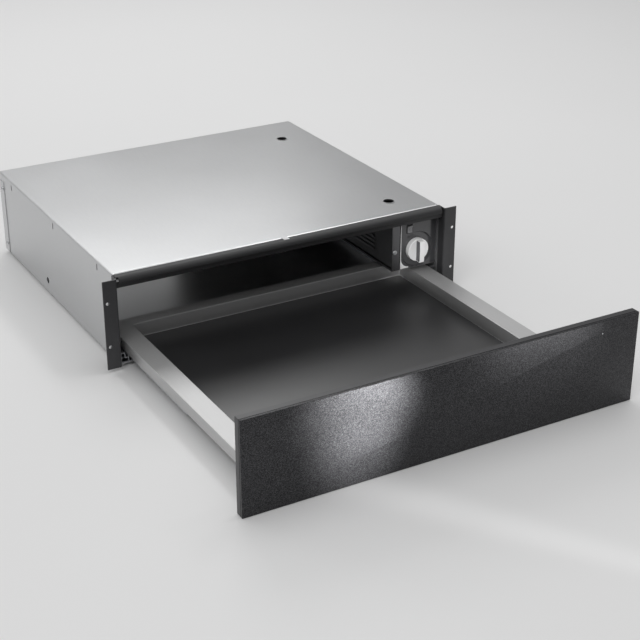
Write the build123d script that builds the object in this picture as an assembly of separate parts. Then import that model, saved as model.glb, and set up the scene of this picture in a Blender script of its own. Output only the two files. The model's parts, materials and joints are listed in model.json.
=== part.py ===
from build123d import *
from math import radians, tan
import os

# Built-in warming drawer, shown pulled out.
# X runs across the front, +Y into the cabinet and +Z up. While it is modelled, y = 0 is the
# front face of the two cabinet flanges and z = 0 is the underside of the housing. The last step
# moves everything down, so that the origin is the middle of the four cabinet screw holes.
# All lengths are in mm. What fits another piece is worked out from that piece's own values.

# ---------------------------------------------------------------- front panel
front_w = 594.0          # covers the edges of a 600 mm cabinet
front_h = 133.0
front_drop = 4.8         # how far the panel hangs below the housing
glass_t = 4.0
glass_edge = 0.5         # ground edge of the glass
glass_gap = 0.6          # dark line between the glass and its frame
frame_d = 9.0            # depth of the folded frame behind the glass
frame_t = 1.2
frame_corner = 1.0
pad_w = 10.0             # bonding pads between the frame and the glass
pad_in = 24.0
pad_end_gap = 30.0
pad_led_gap = 29.8
led_from_end = 60.2
led_below_top = 18.2
led_r = 1.5
led_collar = 1.5
led_play = 0.05
shut_gap = 1.5           # between the frame's back and the flanges when shut

# ---------------------------------------------------------------- housing shell
side_overlap = 24.75     # panel beyond the shell on each side
housing_h = 137.5
housing_d = 488.0
housing_y = 16.0         # front edge of the shell behind the flange faces
sheet_t = 1.0
shell_bend = 2.0
front_lip_h = 9.0
front_bend = 4.0         # the top's front edge rolls down into a lip
tongue_w = 9.0
tongue_l = 7.0
tongue_play = 0.5
top_hole_r = 8.5
top_hole_rim = 1.2
top_hole_rim_h = 0.8
top_hole_in = 60.25      # from the shell's right side
top_hole_front = 51.0
top_hole_back = 85.0
side_slot_front = 59.0
side_slot_mid = 238.0
side_slot_drop = 10.6
side_slot_w = 3.0
side_slot_h = 9.5
side_hole_back = 205.0
side_hole_z = 19.8
side_hole_r = 5.0
base_front_y = 10.0
base_lip_h = 6.0
base_lip_gap = 8.0
base_edge_h = 11.0
base_edge_front = 30.0
floor_vents = 7          # slots under the fan
floor_vent_w = 3.0
floor_vent_l = 48.0
floor_vent_pitch = 8.0
floor_vent_back = 84.0
floor_vent_out = 4.0
rear_flange = 20.0
rear_flange_drop = 13.5
rear_foot_gap = 0.5
rear_vents = 9
rear_vent_rows = 2
rear_vent_w = 4.0
rear_vent_h = 26.0
rear_vent_pitch = 14.0
rear_vent_row_pitch = 36.0
rear_vent_in = 72.25
rear_vent_z = 60.0

# ---------------------------------------------------------------- cabinet flanges and crossbar
flange_t = 1.5
flange_inset = 3.0       # flange edge behind the panel's edge
flange_z0 = 0.8
flange_drop = 1.1        # flange top below the shell's top
flange_bend = 1.5
web_d = 37.0
web_drop = 25.5          # web's top below the shell's top, behind its neck
web_neck = 16.5          # full height of the web, up to here, closes the shell's front corner
screw_from_edge = 6.0
screw_pitch_z = 66.8
screw_rise = 0.5         # screw pattern's middle above the flange's middle
screw_hole_r = 2.5
bar_t = 1.2
bar_nose = 6.4
bar_bend = 0.9
bar_y = 0.6
bar_gap = 0.5            # dark line between the bar and the shell
bar_face_h = 8.9
bar_step = 5.0
bar_foot = 8.0
bar_h = 17.5
bar_end_gap = 3.6

# ---------------------------------------------------------------- drawer and tray
tray_hold = 81.1         # how much of the tray stays behind the flanges when open
rear_clear = 14.4        # behind the shut tray
tray_floor_z = 10.0
tray_depth = 23.3
tray_t = 1.0
tray_side_gap = 10.75    # from the tray's lip to the shell's outside
tray_back_rim_w = 22.8
tray_lip_h = 16.6
tray_fillet = 3.0
rim_fillet = 0.9
notch_play = 1.0         # round the runners, where they pass the back lip
notch_in = 3.0
mat_t = 2.0
mat_gap = 1.5
mat_corner = 4.0
mat_edge = 1.6
angle_t = 1.5
angle_gap = 2.0
angle_l = 32.0
angle_rib = 24.0
angle_foot = 1.0
angle_rib_foot = 4.0

# ---------------------------------------------------------------- runners, one on each side
rail_t = 1.2
rail_in = 26.25          # runner's middle plane from the shell's outside
rail_from_tray = 15.5    # and from the tray's inside
ball_r = 2.25
race_gap = 0.15          # between a ball and its race
ball_row_x = 8.9         # a row's distance from the runner's middle plane
ball_row_z = 8.6         # a row's height over the fixed rail's underside
groove_depth = 2.0       # from the ball row's middle to the middle member's leg
lip_gap = 0.4            # between the ball lips and the middle member
rail_front_y = 11.0
rail_back_gap = 13.0
middle_shorter = 88.0    # than the housing's depth
middle_shut_y = 28.0
middle_foot_gap = 1.2
drawer_rail_front = 38.0
drawer_rail_back = 13.1
cage_l = 120.0
cage_t = 0.5
cage_rise = 1.3          # above the middle of the balls
cage_bend = 0.6
cage_play = 0.1
balls_in_row = 2
hump_w = 7.0
hump_side_gap = 1.65
hump_h = 16.7
ledge_h = 8.7
hump_bend = 0.9
hump_foot_gap = 0.4
rail_screw_r = 2.4
rail_screw_h = 1.4
rail_screw_out = 3.4
rail_screw_end = 14.0
stud_r = 2.3
stud_y = 23.6
stud_z = 31.2
stud_gap = 0.6

# ---------------------------------------------------------------- heating duct on the right
duct_in = 82.25          # duct wall from the shell's right side
duct_floor_z = 40.4
duct_front_y = 19.0
duct_back_gap = 24.0
duct_sill = 2.6
duct_slot_h = 3.6
duct_flange_w = 12.0
duct_edge_h = 16.0
duct_edge_y = 6.0
strip_edge_y = 3.0
strip_w = 13.4           # front flange of the duct wall
strip_screw_in = 4.6
strip_screw_rise = 1.8   # above the knob's middle
louvre_l = 150.0
louvre_front = 50.0
louvre_bank_pitch = 175.0
louvre_count = 8
louvre_pitch = 7.0
louvre_rise = 19.6
louvre_open = 3.2
louvre_out = 2.6
louvre_t = 0.8
louvre_end = 1.0
louvre_edge = 0.4
louvre_bow = (0.7, 0.6)  # where the hood bends, as shares of its depth and height

# ---------------------------------------------------------------- controls
plate_in = 67.25         # control plate's left edge from the shell's right side
plate_t = 1.2
plate_fold = 3.8
dish_r = 29.4            # pressed seat round the knob
dish_floor_r = 27.0
dish_wall = 0.3
dish_d = 3.0
knob_in = 37.0
knob_rise = 29.6
knob_r = 18.4
knob_taper = 0.6         # the disc is this much smaller at its front
knob_chamfer = 0.8
knob_front_y = 3.0
grip_w = 8.0
grip_h = 10.5            # the grip bar stands this far out of the disc
grip_draft = 1.5         # degrees on each flank
grip_crown = 60.0        # radius of the bar's bowed front, seen from the side
grip_edge = 0.7
inlay_t = 0.8            # dark inlays in the bar's flanks
inlay_in = 1.6
inlay_play = 0.05
shaft_r = 3.0
shaft_in = 6.0
shaft_hold = 16.0
shaft_play = 0.2
bush_t = 2.0
bush_play = 0.2
running_gap = 0.05
therm_w = 36.0
therm_h = 40.0
therm_d = 26.0
therm_corner = 3.0
tab_w = 6.3
tab_t = 0.8
tab_l = 8.0
therm_tab_pitch = 10.0
switch_in = 51.25
switch_rise = 36.8
rocker_w = 8.7
rocker_h = 13.0
rocker_gap = 0.35
rocker_tilt = 6.0
rocker_swing = 0.7       # shorter than its well at each end
rocker_stand = 2.2
rocker_dip = 1.2
rocker_pivot = 4.0
rocker_pin_r = 1.0
rocker_pin_l = 0.5
rocker_pin_play = 0.2
switch_wall = 0.9
switch_proud = 0.5
switch_play = 0.1
switch_d = 16.0
switch_well = 9.0
switch_tab_w = 4.8
switch_tab_l = 7.0
switch_tab_pitch = 8.0

# ---------------------------------------------------------------- fan, heater, electrics
fan_in = 41.25
fan_drop = 48.5          # fan's middle below the shell's top
fan_from_back = 158.0
fan_r = 30.0
fan_w = 20.0
fan_blades = 12
fan_disc_t = 1.2
fan_ring_w = 7.0
fan_hub_r = 9.0
fan_hub_l = 12.0
fan_gap = 3.0
fan_shaft_r = 2.0
blade_t = 0.8
blade_lap = 0.6
blade_line = ((-6.5, -1.5), (-3.0, 0.6), (-0.3, 1.2))   # from the rim, and across
bulkhead_foot = 10.0
bulkhead_hole = 5.0
bulkhead_hole_at = 24.0
bulkhead_bore = 7.0
core_w = 46.0
core_h = 56.0
core_d = 18.0
core_below = 18.0
core_stand = 8.0
window_w = 20.0
window_z = (17.0, 30.0)
bridge_w = 40.0
bridge_h = 14.0
bridge_t = 2.0
bridge_at = 3.0
post_r = 2.5
post_at = 16.0
coil_play = 0.3
coil_wrap = 6.0
coil_round = 4.0
rotor_tail = 4.0
heater_r = 3.25
heater_half = 9.0
heater_front = 71.0
heater_from_fan = 47.0
heater_pin_r = 1.6
heater_pin_l = 14.0
heater_bracket_w = 44.0
heater_bracket_t = 1.5
heater_bracket_l = 12.0
heater_bracket_top = 10.0
heater_bracket_in = 14.0
heater_play = 0.1
cutout_r = 8.0
cutout_t = 7.0
cutout_cap_r = 5.0
cutout_cap_t = 2.0
cutout_from_fan = 90.0
cutout_rise = 8.0        # above the fan's middle
terminal_w = 40.0
terminal_d = 32.0
terminal_h = 18.0
terminal_back = 18.0
terminal_cell = 8.0
terminal_pitch = 12.0
terminal_sill = 6.0
terminal_reach = 14.0
gland_z = 66.0
gland_bore_r = 4.5
gland_wall = 2.8
gland_play = 0.2
gland_hex_r = 12.0
gland_head = 5.0
gland_nut = 4.0
gland_in = 9.0
gland_out = 16.0
latch_w = 36.0
latch_foot = 12.0
latch_foot_t = 2.0
latch_foot_d = 14.0
latch_under_lip = 0.5
latch_wall = 5.0
plunger_r = 4.0
plunger_stroke = 4.0
plunger_proud = 8.5
plunger_gap = 0.5
plunger_z = 10.7
plunger_tip = 1.2
plunger_spare = 1.0

# ---------------------------------------------------------------- fasteners and small clearances
seat = 0.3               # between pieces that face each other
over = 2.0               # how far a cutter runs past what it cuts
head_r = 3.6
head_h = 2.0
head_edge = 0.7
screw_r = 1.7
screw_play = 0.1
screw_spare = 1.0
rivet_y = 32.0
rivet_low_z = 24.0
rivet_drop = 33.5
rear_screw_in = 14.0     # from the rear panel's back
rear_screw_low_z = 16.3
rear_screw_drop = 25.5
front_screw_r = 3.2
front_screw_h = 2.0
front_screw_in = 50.5    # from the tray's sides
front_screw_count = 4
front_screw_z = 22.0
angle_screw_out = 4.0
angle_screw_z = 20.0
buffer_r = 4.0
buffer_t = 1.2
buffer_out = 13.0
buffer_rise = 13.2
buffer_drop = 18.4

# ---------------------------------------------------------------- what follows from them
# Across
half_w = front_w / 2 - side_overlap
inner_w = half_w - sheet_t
flange_edge_x = front_w / 2 - flange_inset
screw_x = flange_edge_x - screw_from_edge
rail_x = half_w - rail_in
tray_in = rail_x - rail_from_tray
tray_w = 2 * tray_in
tray_out = half_w - tray_side_gap
race_r = ball_r + race_gap
rail_half = ball_row_x + race_r + rail_t
middle_leg_x = ball_row_x - groove_depth
hump_x = (inner_w - hump_side_gap - hump_w, inner_w - hump_side_gap)
led_x = front_w / 2 - led_from_end
duct_x = half_w - duct_in
plate_x = (half_w - plate_in, inner_w)
knob_x = half_w - knob_in
switch_x = half_w - switch_in
fan_x = half_w - fan_in
top_hole_x = half_w - top_hole_in
# Into the cabinet
housing_back = housing_y + housing_d
travel = housing_back - rear_clear - tray_hold
panel_back_y = -travel - shut_gap
frame_front_y = panel_back_y - frame_d
glass_y = (frame_front_y - glass_gap - glass_t, frame_front_y - glass_gap)
tray_y = (panel_back_y, tray_hold)
tray_in_y = (tray_y[0] + tray_t, tray_y[1] - tray_back_rim_w)
fixed_rail_y = (rail_front_y, housing_back - rail_back_gap)
middle_rail_l = housing_d - middle_shorter
middle_rail_y0 = middle_shut_y - travel / 2
middle_rail_y = (middle_rail_y0, middle_rail_y0 + middle_rail_l)
drawer_rail_y = (panel_back_y + drawer_rail_front, tray_hold - drawer_rail_back)
lower_cage_y = (fixed_rail_y[0] + middle_rail_y[1]) / 2
upper_cage_y = (middle_rail_y[0] + drawer_rail_y[1]) / 2
duct_y = (duct_front_y, housing_back - duct_back_gap)
plate_y = duct_front_y
dish_y = plate_y + dish_d
behind_dish = dish_y + plate_t
fan_y = duct_y[1] - fan_from_back
motor_y = fan_y + sheet_t
core_y = (motor_y + core_stand, motor_y + core_stand + core_d)
heater_y = (duct_y[0] + heater_front, fan_y - heater_from_fan)
shut_pan_back = tray_in_y[1] + tray_t + travel
# Upwards
panel_z = (-front_drop, front_h - front_drop)
led_z = panel_z[1] - led_below_top
top_under = housing_h - sheet_t
flange_z = (flange_z0, housing_h - flange_drop)
screw_mid_z = (flange_z[0] + flange_z[1]) / 2 + screw_rise
tray_rim_z = tray_floor_z + tray_depth
rim_under = tray_rim_z - tray_t
tray_lip_z = tray_rim_z - tray_lip_h
rail_foot = sheet_t
runner_mid_z = (rail_foot + rim_under) / 2
mirror_z = 2 * runner_mid_z
duct_ceiling = duct_floor_z + sheet_t
knob_z = duct_floor_z + knob_rise
switch_z = knob_z + switch_rise
fan_z = top_under - fan_drop
louvre_z0 = duct_floor_z + louvre_rise
rivet_zs = (rivet_low_z, housing_h - rivet_drop)
rear_screw_zs = (rear_screw_low_z, housing_h - rear_screw_drop)
latch_z = (sheet_t, tray_lip_z - latch_under_lip)

os.makedirs("parts", exist_ok=True)


# ---------------------------------------------------------------- helpers
def block(x, y, z):
    """Box between three pairs of coordinates."""
    size = (x[1] - x[0], y[1] - y[0], z[1] - z[0])
    centre = ((x[0] + x[1]) / 2, (y[0] + y[1]) / 2, (z[0] + z[1]) / 2)
    return Pos(*centre) * Box(*size)


def centred(middle, width):
    """Pair of coordinates on both sides of a middle."""
    return (middle - width / 2, middle + width / 2)


def past(pair):
    """The same pair, run on at both ends so that a cutter leaves nothing behind."""
    return (pair[0] - over, pair[1] + over)


def along_x(profile, x0, x1):
    """Extrude a profile drawn in Y and Z."""
    return extrude(Plane.YZ.offset(x0) * profile, x1 - x0)


def along_y(profile, y0, y1):
    """Extrude a profile drawn in X and Z."""
    return extrude(Plane.XZ.offset(-y0) * profile, -(y1 - y0))


def along_z(profile, z0, z1):
    """Extrude a profile drawn in X and Y."""
    return extrude(Plane.XY.offset(z0) * profile, z1 - z0)


def strip(points, radii, thickness):
    """Section of a folded sheet from its middle line and bend radii."""
    return trace(FilletPolyline(*points, radius=radii), thickness)


def rod_x(x0, x1, y, z, r):
    return Pos((x0 + x1) / 2, y, z) * Rot(0, 90, 0) * Cylinder(r, x1 - x0)


def rod_y(x, y0, y1, z, r):
    return Pos(x, (y0 + y1) / 2, z) * Rot(90, 0, 0) * Cylinder(r, y1 - y0)


def rod_z(x, y, z0, z1, r):
    return Pos(x, y, (z0 + z1) / 2) * Cylinder(r, z1 - z0)


def spread(first, last, count):
    """Evenly spaced values from first to last."""
    return [first + (last - first) * i / (count - 1) for i in range(count)]


def other_side(shape):
    return mirror(shape, Plane.YZ)


def save(name, shape):
    """Write one piece, moved so that the screw pattern's middle is the origin."""
    export_step(Pos(0, 0, -screw_mid_z) * shape, f"parts/{name}.step")


def save_pair(name, right_shape):
    save(f"{name}_right", right_shape)
    save(f"{name}_left", other_side(right_shape))


def group(pieces):
    return Compound(children=list(pieces))


# ---------------------------------------------------------------- housing
def housing_cover():
    """Top and both sides, folded from one sheet, with a lip over the mouth."""
    mid = sheet_t / 2
    wall_x = half_w - mid
    top_z = housing_h - mid
    path = [(-wall_x, 0), (-wall_x, top_z), (wall_x, top_z), (wall_x, 0)]
    cover = along_y(strip(path, shell_bend, sheet_t), housing_y, housing_back - sheet_t)
    lip_x = (-inner_w + shell_bend, inner_w - shell_bend)
    lip_end = housing_y + front_bend + sheet_t
    lip_path = [(housing_y + mid, housing_h - front_lip_h), (housing_y + mid, top_z), (lip_end, top_z)]
    cover = cover - block(lip_x, (housing_y - over, lip_end), past((top_under, housing_h)))
    cover = cover + along_x(strip(lip_path, front_bend, sheet_t), *lip_x)
    cover = cover + block(centred(0, tongue_w), (housing_y - tongue_l, lip_end), (top_under, housing_h))
    rim_z = (top_under, housing_h + top_hole_rim_h)
    for y in (housing_y + top_hole_front, housing_back - top_hole_back):
        rim = rod_z(top_hole_x, y, *rim_z, top_hole_r + top_hole_rim)
        cover = cover + rim - rod_z(top_hole_x, y, *past(rim_z), top_hole_r)
    slot_z = centred(housing_h - side_slot_drop, side_slot_h)
    slot_ys = (housing_y + side_slot_front, housing_y + side_slot_mid, housing_back - side_slot_front)
    for y in slot_ys:
        cover = cover - block(past((-half_w, half_w)), centred(y, side_slot_w), slot_z)
    cover = cover - rod_x(*past((-half_w, half_w)), housing_back - side_hole_back, side_hole_z, side_hole_r)
    return cover - side_screw_holes()


def side_screw_holes():
    """Cutters for the rivets at the front and the screws at the back of both sides."""
    reach = past((-half_w - flange_t, half_w + flange_t))
    cutters = [rod_x(*reach, rivet_y, z, screw_r + screw_play) for z in rivet_zs]
    for z in rear_screw_zs:
        cutters.append(rod_x(*reach, housing_back - rear_screw_in, z, screw_r + screw_play))
    return cutters


def base_plate():
    """Flat bottom with low edges and air slots under the fan."""
    back = housing_back - sheet_t
    plate = block((-inner_w, inner_w), (base_front_y, back), (0, sheet_t))
    lip_x = rail_x - rail_half - base_lip_gap
    plate = plate + block((-lip_x, lip_x), (base_front_y, base_front_y + sheet_t), (0, base_lip_h))
    edge = block((inner_w - sheet_t, inner_w), (housing_y + base_edge_front, back), (0, base_edge_h))
    plate = plate + edge + other_side(edge)
    slot_x = centred(fan_x + floor_vent_out, floor_vent_l)
    for i in range(floor_vents):
        y = housing_back - floor_vent_back + floor_vent_pitch * i
        plate = plate - block(slot_x, centred(y, floor_vent_w), past((0, sheet_t)))
    return plate


def rear_panel():
    """Back wall with forward flanges outside the cover, vents and the cable hole."""
    y = (housing_back - sheet_t, housing_back)
    shoulder_z = housing_h - rear_flange_drop
    low_wall = block((-half_w - sheet_t, half_w + sheet_t), y, (rear_foot_gap, shoulder_z))
    high_wall = block((-inner_w, inner_w), y, (rear_foot_gap, top_under - seat))
    flange = block((half_w, half_w + sheet_t), (y[1] - rear_flange, y[1]), (rear_foot_gap, shoulder_z))
    wall = low_wall + high_wall + flange + other_side(flange)
    wall = wall - side_screw_holes()
    for row in range(rear_vent_rows):
        vent_z = centred(rear_vent_z + rear_vent_row_pitch * row, rear_vent_h)
        for i in range(rear_vents):
            vent_x = centred(-half_w + rear_vent_in + rear_vent_pitch * i, rear_vent_w)
            wall = wall - block(vent_x, past(y), vent_z)
    return wall - rod_y(fan_x, *past(y), gland_z, gland_bore_r + gland_wall + gland_play)


def crossbar():
    """Folded bar over the mouth: a rounded nose, then a step and a lower flange."""
    t2 = bar_t / 2
    nose_y = bar_y + t2
    top = housing_h - t2
    face_z = housing_h - bar_face_h + t2
    foot_z = housing_h - bar_h + t2
    step_y = nose_y + bar_step
    path = [(housing_y - bar_gap, top), (nose_y, top), (nose_y, face_z), (step_y, face_z),
            (step_y, foot_z), (step_y + bar_foot, foot_z)]
    bar = along_x(strip(path, [bar_nose, bar_bend, bar_bend, bar_bend], bar_t), -half_w, half_w)
    end = block((half_w - bar_end_gap, half_w + over), (bar_y - over, step_y - t2 - screw_play),
                past((foot_z, housing_h)))
    notch = block(centred(0, tongue_w + 2 * tongue_play), (housing_y - tongue_l - tongue_play, housing_y),
                  past((housing_h - bar_t, housing_h)))
    return bar - end - other_side(end) - notch


def cabinet_flange():
    """Right flange: a front face for the cabinet screws and a web along the shell's side."""
    mid = flange_t / 2
    path = [(half_w + mid, web_d), (half_w + mid, mid), (flange_edge_x, mid)]
    piece = along_z(strip(path, flange_bend, flange_t), *flange_z)
    above_web = block(past((half_w, half_w + flange_t)), (web_neck, web_d + over),
                      (housing_h - web_drop, flange_z[1] + over))
    piece = piece - above_web
    for z in centred(screw_mid_z, screw_pitch_z):
        piece = piece - rod_y(screw_x, *past((0, flange_t)), z, screw_hole_r)
    return piece - side_screw_holes()


# ---------------------------------------------------------------- drawer
def tray():
    """Shallow pan with a wide rim and a lip folded down on three sides, open to the panel."""
    length = tray_in_y[1] - tray_in_y[0]
    mid_y = (tray_in_y[0] + tray_in_y[1]) / 2

    def pan(grow, bottom):
        body = block(centred(0, tray_w + 2 * grow), centred(mid_y, length + 2 * grow),
                     (bottom, tray_rim_z))
        edges = body.edges().filter_by(Axis.Z) + body.faces().sort_by(Axis.Z)[0].edges()
        return fillet(edges, tray_fillet + grow)

    shell = pan(tray_t, tray_floor_z - tray_t) - pan(0, tray_floor_z)
    rim = block((-tray_out, tray_out), tray_y, (tray_lip_z, tray_rim_z))
    under = block((-tray_out + tray_t, tray_out - tray_t), (tray_y[0] - over, tray_y[1] - tray_t),
                  (tray_lip_z - over, rim_under))
    rim = rim - under
    rim = fillet(rim.faces().sort_by(Axis.Z)[-1].edges().filter_by(Axis.Y), rim_fillet)
    mouth = block(centred(0, tray_w + tray_t), centred(mid_y, length + tray_t),
                  past((tray_lip_z, tray_rim_z)))
    mouth = fillet(mouth.edges().filter_by(Axis.Z), tray_fillet + tray_t / 2)
    body = (rim - mouth) + shell
    body = fillet(body.faces().sort_by(Axis.Z)[-1].inner_wires()[0].edges(), rim_fillet)
    notch = block(centred(rail_x, 2 * (rail_half + notch_play)), (tray_y[1] - notch_in, tray_y[1] + over),
                  (0, rim_under))
    return body - notch - other_side(notch)


def mat():
    """Loose anti-slip mat on the tray's floor."""
    x = centred(0, tray_w - 2 * mat_gap)
    y = (tray_in_y[0] + mat_gap, tray_in_y[1] - mat_gap)
    sheet = block(x, y, (tray_floor_z, tray_floor_z + mat_t))
    sheet = fillet(sheet.edges().filter_by(Axis.Z), mat_corner)
    return chamfer(sheet.faces().sort_by(Axis.Z)[0].edges(), mat_edge)


def front_glass():
    plate = block((-front_w / 2, front_w / 2), glass_y, panel_z)
    plate = chamfer(plate.faces().sort_by(Axis.Y)[0].edges(), glass_edge)
    return plate - rod_y(led_x, *past(glass_y), led_z, led_r)


def front_frame():
    """Folded pan behind the glass, closed at the back, with bonding pads for the glass."""
    outer = block((-front_w / 2, front_w / 2), (frame_front_y, panel_back_y), panel_z)
    outer = fillet(outer.edges().filter_by(Axis.Y), frame_corner)
    inner = block((-front_w / 2 + frame_t, front_w / 2 - frame_t),
                  (frame_front_y - over, panel_back_y - frame_t),
                  (panel_z[0] + frame_t, panel_z[1] - frame_t))
    frame = outer - inner
    pad_x = (-front_w / 2 + pad_end_gap, led_x - pad_led_gap)
    for z in (panel_z[0] + pad_in, panel_z[1] - pad_in):
        frame = frame + block(pad_x, (glass_y[1], panel_back_y - frame_t), centred(z, pad_w))
    return frame


def led_lens():
    stem = rod_y(led_x, *glass_y, led_z, led_r - led_play)
    return stem + rod_y(led_x, glass_y[1], panel_back_y - frame_t, led_z, led_r + led_collar)


def front_angle():
    """Angle bracket under the rim that carries the front frame."""
    x = (tray_in + tray_t + angle_gap, tray_out - tray_t - angle_gap)
    y0 = tray_y[0]
    upright = block(x, (y0, y0 + angle_t), (tray_floor_z + angle_foot, rim_under))
    shelf = block(x, (y0, y0 + angle_l), (rim_under - angle_t, rim_under))
    corner = [(y0, tray_floor_z + angle_rib_foot), (y0, rim_under), (y0 + angle_rib, rim_under)]
    rib = along_x(make_face(Polyline(*corner, close=True)), x[0], x[0] + angle_t)
    return upright + shelf + rib


def front_screws():
    """Screws through the tray's front wall and the angles into the frame."""
    found = []
    reach = tray_in - front_screw_in
    for x in spread(-reach, reach, front_screw_count):
        y = tray_in_y[0]
        found.append(rod_y(x, y, y + front_screw_h, front_screw_z, front_screw_r))
    for x in (-rail_x - angle_screw_out, rail_x + angle_screw_out):
        y = tray_y[0] + angle_t
        found.append(rod_y(x, y, y + front_screw_h, angle_screw_z, front_screw_r))
    return group(found)


def buffers():
    """Soft pads on the frame's back that meet the cabinet flanges."""
    found = []
    for z in (flange_z[0] + buffer_rise, flange_z[1] - buffer_drop):
        for x in (-half_w - buffer_out, half_w + buffer_out):
            found.append(rod_y(x, panel_back_y, panel_back_y + buffer_t, z, buffer_r))
    return group(found)


# ---------------------------------------------------------------- runners
def channel_rail(y):
    """Outer member: a channel, open side up, with lips rolled over its two ball rows."""
    z = ball_row_z
    section = Pos(0, rail_t / 2) * Rectangle(2 * rail_half, rail_t)
    lip_from = middle_leg_x + rail_t / 2 + lip_gap
    reach = race_r + rail_t
    for side in (-1, 1):
        wall = Pos(side * (rail_half - rail_t / 2), z / 2) * Rectangle(rail_t, z)
        ring = Pos(side * ball_row_x, z) * (Circle(reach) - Circle(race_r))
        window = Pos(side * (lip_from + reach), z + reach) * Rectangle(2 * reach, 2 * reach)
        section = section + wall + (ring & window)
    return along_y(section, *y)


def middle_rail():
    """Double channel: two legs with outside ball grooves on a shared web."""
    reach = race_r + rail_t
    low_z = rail_foot + ball_row_z
    leg_h = mirror_z - 2 * (rail_foot + middle_foot_gap + rail_t)
    section = Pos(0, runner_mid_z) * Rectangle(2 * middle_leg_x, 2 * rail_t)
    for side in (-1, 1):
        leg = Pos(side * middle_leg_x, runner_mid_z) * Rectangle(rail_t, leg_h)
        inside_x = middle_leg_x + rail_t / 2 - reach
        for z in (low_z, mirror_z - low_z):
            ring = Pos(side * ball_row_x, z) * Circle(reach)
            leg = leg + (ring & (Pos(side * inside_x, z) * Rectangle(2 * reach, 2 * reach)))
            leg = leg - Pos(side * ball_row_x, z) * Circle(race_r)
        section = section + leg
    return along_y(Pos(rail_x, 0) * section, *middle_rail_y)


def ball_ys(mid_y):
    """Places of the balls of one row, evenly spaced in the cage."""
    pitch = cage_l / balls_in_row
    return [mid_y + pitch * (i - (balls_in_row - 1) / 2) for i in range(balls_in_row)]


def cage(mid_y, upper):
    """U-shaped strip that spaces two rows of balls, with open slots for them."""
    x = ball_row_x
    floor_z = rail_t + seat + cage_t / 2
    top_z = ball_row_z + cage_rise
    path = [(-x, top_z), (-x, floor_z), (x, floor_z), (x, top_z)]
    shell = along_y(strip(path, cage_bend, cage_t), *centred(mid_y, cage_l))
    wide = past((-x, x))
    for y in ball_ys(mid_y):
        shell = shell - rod_x(*wide, y, ball_row_z, ball_r + cage_play)
        shell = shell - block(wide, centred(y, 2 * (ball_r + cage_play)), (ball_row_z, top_z + over))
    return place_in_runner(shell, upper)


def balls(mid_y, upper):
    found = []
    for y in ball_ys(mid_y):
        for side in (-1, 1):
            ball = Pos(side * ball_row_x, y, ball_row_z) * Sphere(ball_r)
            found.append(place_in_runner(ball, upper))
    return group(found)


def place_in_runner(shape, upper):
    """Move a piece drawn at the lower channel's middle to its place, turned over if upper."""
    if upper:
        return Pos(rail_x, 0, mirror_z - rail_foot) * mirror(shape, Plane.XY)
    return Pos(rail_x, 0, rail_foot) * shape


def rail_bracket():
    """Hat-shaped strip that ties the fixed rail's outer wall to the base plate."""
    t2 = rail_t / 2
    x_in = rail_x + rail_half
    left, right = hump_x[0] + t2, hump_x[1] - t2
    path = [(x_in, ledge_h - t2), (left, ledge_h - t2), (left, hump_h - t2), (right, hump_h - t2),
            (right, sheet_t + t2), (x_in + hump_foot_gap, sheet_t + t2)]
    return along_y(strip(path, hump_bend, rail_t), *fixed_rail_y)


def rail_screws():
    """Screws through the brackets' feet into the base plate."""
    found = []
    z = sheet_t + rail_t
    for y in spread(fixed_rail_y[0] + rail_screw_end, fixed_rail_y[1] - rail_screw_end, 3):
        head = rod_z(rail_x + rail_half + rail_screw_out, y, z, z + rail_screw_h, rail_screw_r)
        found.append(head)
        found.append(other_side(head))
    return group(found)


def guide_studs():
    """Light nylon studs on the shell's inner sides that centre the tray's lip."""
    stud = rod_x(tray_out + stud_gap, inner_w, stud_y, stud_z, stud_r)
    return group([stud, other_side(stud)])


# ---------------------------------------------------------------- duct and controls
def louvre_hood(y, z):
    """Pressed hood over one louvre slot that starts at z, open on its lower side."""
    path = Polyline((duct_x - louvre_out, z + louvre_edge),
                    (duct_x - louvre_out * louvre_bow[0], z + louvre_open * louvre_bow[1]),
                    (duct_x + sheet_t / 2, z + louvre_open + sheet_t / 2))
    return along_y(trace(path, louvre_t), *y)


def duct_wall():
    """Left wall of the duct: top and front flanges, louvres, and an air slot along its foot."""
    x = (duct_x, duct_x + sheet_t)
    wall = block(x, duct_y, (duct_floor_z + duct_sill + duct_slot_h, top_under))
    wall = wall + block((duct_x, duct_x + duct_flange_w), duct_y, (top_under - sheet_t, top_under))
    front = block((duct_x, duct_x + strip_w), (duct_y[0], duct_y[0] + sheet_t),
                  (duct_ceiling + seat, top_under))
    wall = wall + front
    for bank in range(2):
        y0 = duct_y[0] + louvre_front + louvre_bank_pitch * bank
        for i in range(louvre_count):
            z0 = louvre_z0 + louvre_pitch * i
            slot_y = (y0 + louvre_end, y0 + louvre_l - louvre_end)
            wall = wall - block(past(x), slot_y, (z0, z0 + louvre_open))
            wall = wall + louvre_hood((y0, y0 + louvre_l), z0)
    screw_y = past((duct_y[0], duct_y[0] + sheet_t))
    return wall - rod_y(duct_x + strip_screw_in, *screw_y, knob_z + strip_screw_rise, screw_r + screw_play)


def duct_floor():
    """Bottom of the duct with a low edge inside the slot and a fixing edge at the shell."""
    z0 = duct_floor_z
    plate = block((duct_x, inner_w), duct_y, (z0, duct_ceiling))
    sill_y = (duct_y[0] + strip_edge_y, duct_y[1])
    plate = plate + block((duct_x, duct_x + sheet_t), sill_y, (z0, z0 + duct_sill))
    return plate + block((inner_w - sheet_t, inner_w), (duct_y[0] + duct_edge_y, duct_y[1]),
                         (z0, z0 + duct_edge_h))


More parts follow.
